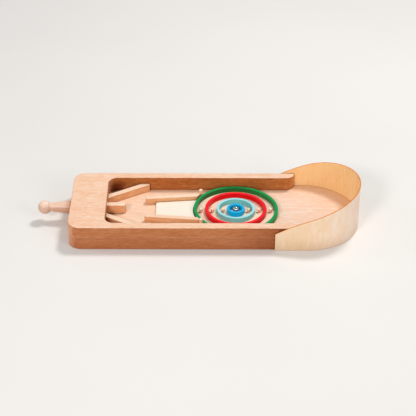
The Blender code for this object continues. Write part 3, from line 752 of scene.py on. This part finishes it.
def build_frame(material):
    """U-shaped frame with its channel for the plunger bar."""
    outer = HALF_WIDTH - CORNER_RADIUS
    pocket = (END_BLOCK + POCKET_RADIUS, INNER_HALF - POCKET_RADIUS)
    back = arc((RAIL_END - RAIL_WIDTH, HALF_WIDTH), RAIL_WIDTH, -90, 0, POCKET_STEPS)
    back += arc((CORNER_RADIUS, outer), CORNER_RADIUS, 90, 180, CORNER_STEPS)
    inner = arc(pocket, POCKET_RADIUS, 180, 90, POCKET_STEPS)
    outline = mirrored(inner) + inner + back + mirrored(back)
    body = to_object(prism(outline, SEAT, FRAME_TOP), "side_frame_wood")
    ease(body, top=EASED, bottom=JOINT, segments=4)
    half = (bar_high.y - bar_low.y) / 2 + CHANNEL_ROOM
    far = END_BLOCK + CUT_OVERRUN
    channel = [(-CUT_OVERRUN, -half), (far, -half), (far, half), (-CUT_OVERRUN, half)]
    cut(body, to_object(prism(channel, SEAT - CUT_OVERRUN, bar_high.z + CHANNEL_ROOM), "channel"))
    pin_hole = bmesh.new()
    add_drill(pin_hole, pin_low, pin_high, PLAYFIELD, pin_high.z)
    cut(body, to_object(pin_hole, "pin_hole"))
    dress(body, material, "board", "beech", "side_frame")


def build_fence(material):
    """Plywood strip with an arched top edge, bent round the end of the board."""
    inner_radius = fence_high.y - FENCE_THICKNESS
    straight = ROUND_X - LAP_START
    length = 2 * straight + math.pi * inner_radius
    rise = fence_high.z - FENCE_END_HEIGHT
    top_radius = (length ** 2 / 4 + rise ** 2) / (2 * rise)
    softness = 1.6 * CRISP
    soft_shares = [(0.0, 1.0), (0.03, 0.45), (0.10, 0.0), (0.90, 0.0), (0.97, 0.45), (1.0, 1.0)]
    steps = 220
    shape = bmesh.new()
    across = shape.verts.layers.float.new("across")
    along = shape.verts.layers.float.new("along")
    loops = []
    for step in range(steps + 1):
        distance = length * step / steps
        from_middle = distance - length / 2
        height = fence_high.z - top_radius + math.sqrt(top_radius ** 2 - from_middle ** 2)
        section = [(share, height - drop * softness) for share, drop in soft_shares]
        section += [(share, drop * softness) for share, drop in reversed(soft_shares)]
        loop = []
        for share, z in section:
            radius = inner_radius + FENCE_THICKNESS * share
            if distance < straight:
                spot = (LAP_START + distance, -radius, z)
            elif distance > length - straight:
                spot = (LAP_START + length - distance, radius, z)
            else:
                angle = (distance - straight) / inner_radius - math.pi / 2
                spot = (ROUND_X + radius * math.cos(angle), radius * math.sin(angle), z)
            vertex = shape.verts.new(spot)
            vertex[across] = share
            vertex[along] = distance / MM
            loop.append(vertex)
        loops.append(loop)
    count = len(loops[0])
    for before, after in zip(loops, loops[1:]):
        for corner in range(count):
            other = (corner + 1) % count
            shape.faces.new((before[corner], before[other], after[other], after[corner]))
    shape.faces.new(list(reversed(loops[0])))
    shape.faces.new(loops[-1])
    fence = to_object(shape, "curved_fence_ply")
    dress(fence, material, "board", "birch_plywood", "curved_fence")


def along_axis(x):
    """Where a turned piece lies, from x towards the left along the plunger's axis."""
    return Matrix.Translation((x, 0, AXIS_Z)) @ Matrix.Rotation(math.radians(-90), 4, "Y")


def build_handle(material):
    """Turned handle with a ball knob, hollowed for the bar's tenon."""
    rounding = 1.2 * MM
    land = 3 * MM
    fillet = 0.9 * MM
    neck_rise = math.sqrt((KNOB_RADIUS + fillet) ** 2 - (NECK_RADIUS + fillet) ** 2)
    neck_angle = math.degrees(math.atan2(-neck_rise, NECK_RADIUS + fillet))
    profile = arc((0, KNOB_DISTANCE), KNOB_RADIUS, 90, neck_angle, 26)
    profile[0] = (0, KNOB_DISTANCE + KNOB_RADIUS)
    profile += arc((NECK_RADIUS + fillet, KNOB_DISTANCE - neck_rise), fillet, 180 + neck_angle,
                   180, EDGE_STEPS)[1:]
    profile.append((SHOULDER_RADIUS, land))
    profile += arc((SHOULDER_RADIUS - rounding, rounding), rounding, 0, -90, 6)
    bore = TENON_RADIUS + TENON_ROOM
    profile += [(bore, 0), (bore, TENON_LENGTH + MM), (0, TENON_LENGTH + MM)]
    handle = to_object(lathe(profile, 72, False), "plunger_handle_wood",
                       along_axis(handle_high.x - LEFT))
    dress(handle, material, "plunger", "beech_turned", "plunger_handle")


def build_plunger_bar(material):
    """Striker bar with its tenon and its slot for the stop pin."""
    low, high = bar_low.z, bar_high.z
    half = bar_high.y
    tip = bar_high.x - LEFT
    corner = 2.2 * MM
    outline = [(0, half), (0, -half)]
    outline += arc((tip - corner, corner - half), corner, -90, 0, BAR_STEPS)
    outline += arc((tip - corner, half - corner), corner, 0, 90, BAR_STEPS)
    bar = to_object(prism(outline, low, high), "plunger_bar_wood")
    ease(bar, top=SOFT, bottom=SOFT, upright=SOFT)
    slot = arc((STOP_PIN_X + PLUNGER_TRAVEL, 0), STOP_PIN_ROOM, -90, 90, POCKET_STEPS)
    slot += arc((STOP_PIN_X, 0), STOP_PIN_ROOM, 90, 270, POCKET_STEPS)
    cut(bar, to_object(prism(slot, low - CUT_OVERRUN, high + CUT_OVERRUN), "slot"))
    side, end = half + CUT_OVERRUN, tip + CUT_OVERRUN
    relief = [(END_BLOCK, -side), (end, -side), (end, side), (END_BLOCK, side)]
    cut(bar, to_object(prism(relief, low - CUT_OVERRUN, low + NOSE_RELIEF), "relief"))
    tenon = lathe([(0, 0), (TENON_RADIUS, 0), (TENON_RADIUS, TENON_LENGTH), (0, TENON_LENGTH)],
                  HOLE_STEPS, False)
    tenon = to_object(tenon, "plunger_tenon_wood", along_axis(-CRISP / 10))
    dress(tenon, material, "plunger", "beech", "plunger_bar")
    dress(bar, material, "plunger", "beech", "plunger_bar")


def build_angled_bar(name, outline, origin, angle, material):
    """A low bar drawn in its own frame, so that its grain follows its length."""
    place = Matrix.Translation((origin[0], origin[1], 0)) @ Matrix.Rotation(angle, 4, "Z")
    back = place.inverted()
    local = [tuple((back @ Vector((x, y, 0))).xy) for x, y in outline]
    bar = to_object(prism(local, SEAT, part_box(name)[1].z), name + "_wood", place)
    ease(bar, top=SOFT, bottom=CRISP, upright=SOFT)
    dress(bar, material, "board", "beech", name)


def build_funnel_bars(materials):
    """Slanted bars from the end block to the rails, the back one first."""
    wall = END_BLOCK + GLUE_GAP
    rail = INNER_HALF - GLUE_GAP
    slope = math.tan(FUNNEL_ANGLE)
    tip_x = wall + (rail - FUNNEL_TIP - FUNNEL_MOUTH) / slope
    far = FUNNEL_MOUTH + FUNNEL_WIDTH / math.cos(FUNNEL_ANGLE)
    outline = [(wall, far), (wall, FUNNEL_MOUTH), (tip_x, rail - FUNNEL_TIP), (tip_x, rail),
               (wall + (rail - far) / slope, rail)]
    build_angled_bar("funnel_bar_back", outline, (wall, FUNNEL_MOUTH), FUNNEL_ANGLE, materials[0])
    build_angled_bar("funnel_bar_front", mirrored(outline), (wall, -FUNNEL_MOUTH), -FUNNEL_ANGLE,
                     materials[1])


def lane_inner(x):
    """Distance of the lane bars' inner faces from the middle line."""
    return LANE_HALF + (x - LANE_START) * math.tan(LANE_ANGLE)


def build_lane_bars(materials):
    """Bars beside the plate, their ends cut along the green ring."""
    along = Vector((math.cos(LANE_ANGLE), math.sin(LANE_ANGLE)))
    across = Vector((-along.y, along.x))
    inner = Vector((LANE_START, LANE_HALF))
    outer = inner + across * LANE_WIDTH
    centre = Vector((RING_X, 0))
    reach = GREEN_RADIUS + LANE_RING_GAP
    start = (inner + outer) / 2 - centre
    nearest = -start.dot(along)
    before = math.sqrt(nearest ** 2 - start.length_squared + reach ** 2)
    facing = (start + along * (nearest - before)).normalized()
    near, far = (corner + along * ((reach - (corner - centre).dot(facing)) / along.dot(facing))
                 for corner in (inner, outer))
    outline = rounded(outer, far, inner, LANE_CORNER, BAR_STEPS)
    outline += rounded(inner, outer, near, LANE_CORNER, BAR_STEPS)
    outline += [tuple(near), tuple(far)]
    build_angled_bar("lane_bar_back", outline, tuple(inner), LANE_ANGLE, materials[0])
    build_angled_bar("lane_bar_front", mirrored(outline), (inner.x, -inner.y), -LANE_ANGLE,
                     materials[1])


def build_plate(material):
    """Pale plate between the lane bars, cut out along the green ring."""
    aside = GLUE_GAP / math.cos(LANE_ANGLE)
    start = (PLATE_START, lane_inner(PLATE_START) - aside)
    reach = GREEN_RADIUS + PLATE_RING_GAP
    side_distance = (lane_inner(RING_X) - aside) * math.cos(LANE_ANGLE)
    end_angle = math.pi - math.asin(side_distance / reach) + LANE_ANGLE
    end = (RING_X + reach * math.cos(end_angle), reach * math.sin(end_angle))
    outline = rounded(start, end, (PLATE_START, 0), PLATE_CORNER, 12)
    outline += mirrored(outline)
    turn = math.degrees(end_angle)
    outline += arc((RING_X, 0), reach, 360 - turn, turn, 48)
    plate = to_object(prism(outline, SEAT, PLATE_TOP), "launch_plate_pale")
    ease(plate, top=0.7 * MM, bottom=CRISP, segments=4)
    dress(plate, material, "board", "pale_veneer", "launch_plate")


def build_ring(node, wall, steps, material, slot):
    """Painted ring with rounded upper edges."""
    low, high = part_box(node)
    radius = (high.x - low.x) / 2
    inside = radius - wall
    soft = 0.8 * MM
    profile = arc((radius - soft, RING_TOP - soft), soft, 90, 0, EDGE_STEPS)
    profile += [(radius, SEAT + CRISP), (radius - CRISP, SEAT), (inside + CRISP, SEAT),
                (inside, SEAT + CRISP)]
    profile += arc((inside + soft, RING_TOP - soft), soft, 180, 90, EDGE_STEPS)
    place = Matrix.Translation((RING_X, 0, 0))
    ring = to_object(lathe(profile, steps, True), node + "_painted", place)
    dress(ring, material, "board", slot, node)


def build_peg(node, material):
    """Dowel peg with an eased top."""
    low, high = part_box(node)
    middle = (low + high) / 2
    radius = (high.x - low.x) / 2
    soft = 0.5 * MM
    profile = [(0, high.z)] + arc((radius - soft, high.z - soft), soft, 90, 0, EDGE_STEPS)
    profile += [(radius, low.z), (0, low.z)]
    place = Matrix.Translation((middle.x - LEFT, middle.y, 0))
    peg = to_object(lathe(profile, 40, False), node + "_dowel", place)
    dress(peg, material, "board", "beech_turned", node)


def build_ball(material):
    """Ball on the playfield, inside the smallest ring."""
    radius = (ball_high.x - ball_low.x) / 2
    shape = bmesh.new()
    bmesh.ops.create_uvsphere(shape, u_segments=64, v_segments=40, radius=radius)
    middle = (ball_low + ball_high) / 2
    place = Matrix.Translation((middle.x - LEFT, middle.y, middle.z - (ball_low.z - SEAT)))
    ball = to_object(shape, "steel_ball_polished", place)
    dress(ball, material, "ball", "polished_steel", "steel_ball")


def build_object():
    """Makes every piece and gives the one hidden piece that stays its own wood."""
    body = {"inner": POCKET_SHADE_SIDE, "side_far": SIDE_FAR, "joint": JOINT_HEIGHT, "painted_nook_shade": True,
            "depth": 0.80}
    build_base(wood("beech_base", FIELD_NEAR, SIDE, END, (3, 5, 0), far=FIELD_FAR, painted_warm_shade=True,
                    widest=0.42, painted_light_target=FIELD_TARGET_PAINTED_LIGHT, **body))
    build_frame(wood("beech_frame", TOP, SIDE, END, (3, 5, 0), far=TOP_FAR, widest=0.50,
                     top_swing=0.095, **body))
    build_fence(plywood("birch_ply", PLY_OUTER, PLY_OUTER_LIT_FAR, PLY_INNER_WARM_BOUNCE, PLY_EDGE))
    build_handle(turned_wood("beech_handle", KNOB_LIT_TOP, KNOB_SHADED_SIDE, (5, 9, 2), up=0,
                             darker_shaft_and_shaded_end=True, gloss=0.29))
    bars = [wood("beech_bar_" + str(number), tone, BAR_SIDE, END, (70 * number, 9, 4 * number),
                 0.8, depth=0.75, widest=0.50)
            for number, tone in enumerate([BAR_TOP_TONE] * 4 + [FRONT_LANE_TOP])]
    build_plunger_bar(bars[0])
    build_funnel_bars(bars[1:3])
    build_lane_bars(bars[3:5])
    build_plate(wood("pale_veneer", PLATE_FACE, PLATE_SIDE, None, (9, 40, 8), 0.3, 0.55))
    for node, slot, wall, steps, *paint in (
            ("ring_green", "green_paint", BIG_WALL, 224, GREEN_TOP, GREEN_SHADED_SIDE, (1, 2, 3),
             GREEN_LIT_SIDE_RIGHT),
            ("ring_red", "red_paint", BIG_WALL, 192, RED_TOP, RED_SHADED_SIDE, (5, 1, 8)),
            ("ring_light_blue", "light_blue_paint", SMALL_WALL, 144, LIGHT_BLUE_TOP,
             LIGHT_BLUE_SHADED_SIDE, (9, 7, 2)),
            ("ring_blue", "blue_paint", SMALL_WALL, 112, BLUE_TOP, BLUE_SHADED_SIDE, (4, 4, 6))):
        build_ring(node, wall, steps, painted(slot, *paint), slot)
    dowel = turned_wood("beech_dowel", DOWEL_TOP, DOWEL_SIDE, (2, 6, 1), depth=0.15)
    # The ring pegs take a darker copy of the dowel wood, as painted shade
    ring_dowel = turned_wood("beech_ring_dowel", DOWEL_TOP, RING_DOWEL_SHADED_SIDE, (2, 6, 1), depth=0.35)
    for node in sorted(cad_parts):
        if "_peg_" in node:
            build_peg(node, ring_dowel if "ring" in node else dowel)
    build_ball(steel("polished_steel"))
    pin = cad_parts["plunger_stop_pin"]
    pin.data.materials.clear()
    pin.data.materials.append(dowel)


# Camera, solved from the outlines of the board in the photograph
CAMERA_PLACE = (-0.0065, -1.3472, 0.8634)
CAMERA_YAW = math.radians(0.775)
CAMERA_PITCH = math.radians(32.093)
CAMERA_ROLL = math.radians(-0.572)
CAMERA_LENS = 110.544
CAMERA_SENSOR = 36.0
CAMERA_NEAR = 0.05
CAMERA_FAR = 50

# Lamps: name, azimuth and elevation in degrees, distance, size, watts and colour
LAMPS = (("key", 48, 61, 1.8, 0.42, 15.9, (1.0, 0.97, 0.93)),
         ("fill", -116, 33, 2.2, 0.5, 17.0, (1.0, 0.98, 0.96)),
         ("side", -46, 27, 2.2, 0.9, 8.6, (1.0, 0.98, 0.97)),
         ("left", 172, 26, 2.2, 0.9, 5.5, (1.0, 0.98, 0.96)))
SKY_STRENGTH = 0.36
FLOOR_SIZE = 6
FLOOR_DROP = 0.05 * MM


def build_camera():
    """Camera at the photograph's place."""
    forward = Vector((math.sin(CAMERA_YAW) * math.cos(CAMERA_PITCH),
                      math.cos(CAMERA_YAW) * math.cos(CAMERA_PITCH), -math.sin(CAMERA_PITCH)))
    level = Vector((math.cos(CAMERA_YAW), -math.sin(CAMERA_YAW), 0))
    down = forward.cross(level)
    right = level * math.cos(CAMERA_ROLL) + down * math.sin(CAMERA_ROLL)
    up = level * math.sin(CAMERA_ROLL) - down * math.cos(CAMERA_ROLL)
    data = bpy.data.cameras.new("camera")
    data.lens = CAMERA_LENS
    data.sensor_width = CAMERA_SENSOR
    data.clip_start = CAMERA_NEAR
    data.clip_end = CAMERA_FAR
    camera = bpy.data.objects.new("camera", data)
    bpy.context.scene.collection.objects.link(camera)
    turn = Matrix((right, up, -forward)).transposed().to_4x4()
    camera.matrix_world = Matrix.Translation(CAMERA_PLACE) @ turn
    bpy.context.scene.camera = camera


def build_lamp(name, azimuth, elevation, distance, size, watts, colour):
    """A round softbox that looks at the middle of the board. Azimuth 0 is +X and 90 is +Y."""
    azimuth = math.radians(azimuth)
    elevation = math.radians(elevation)
    aim = Vector((math.cos(azimuth) * math.cos(elevation), math.sin(azimuth) * math.cos(elevation),
                  math.sin(elevation)))
    data = bpy.data.lights.new(name, "AREA")
    data.shape = "DISK"
    data.size = size
    data.energy = watts
    data.color = colour
    lamp = bpy.data.objects.new(name, data)
    bpy.context.scene.collection.objects.link(lamp)
    lamp.location = aim * distance
    lamp.rotation_mode = "QUATERNION"
    lamp.rotation_quaternion = (-aim).to_track_quat("-Z", "Y")


def build_stage():
    """Pale floor, pale surroundings and four soft lamps."""
    shape = bmesh.new()
    bmesh.ops.create_grid(shape, x_segments=1, y_segments=1, size=FLOOR_SIZE)
    floor = to_object(shape, "floor")
    floor.location.z = -FLOOR_DROP
    shader = Shader("floor_paint")
    cloud = shader.noise((0.002, 0.002, 0.002), 3, 0.5)
    tone = shader.mix(shader.ramp(cloud, 0.3, 0.7), rgba(FLOOR_DARK), rgba(FLOOR_LIGHT))
    shader.link(tone, shader.surface.inputs["Base Color"])
    shader.surface.inputs["Roughness"].default_value = 0.8
    floor.data.materials.append(shader.material)
    world = bpy.data.worlds.new("studio")
    bpy.context.scene.world = world
    world.use_nodes = True
    background = world.node_tree.nodes["Background"]
    background.inputs["Color"].default_value = rgba(SKY)
    background.inputs["Strength"].default_value = SKY_STRENGTH
    for lamp in LAMPS:
        build_lamp(*lamp)


build_object()
build_camera()
build_stage()
bpy.context.scene.view_settings.view_transform = "Standard"

bpy.context.view_layer.update()
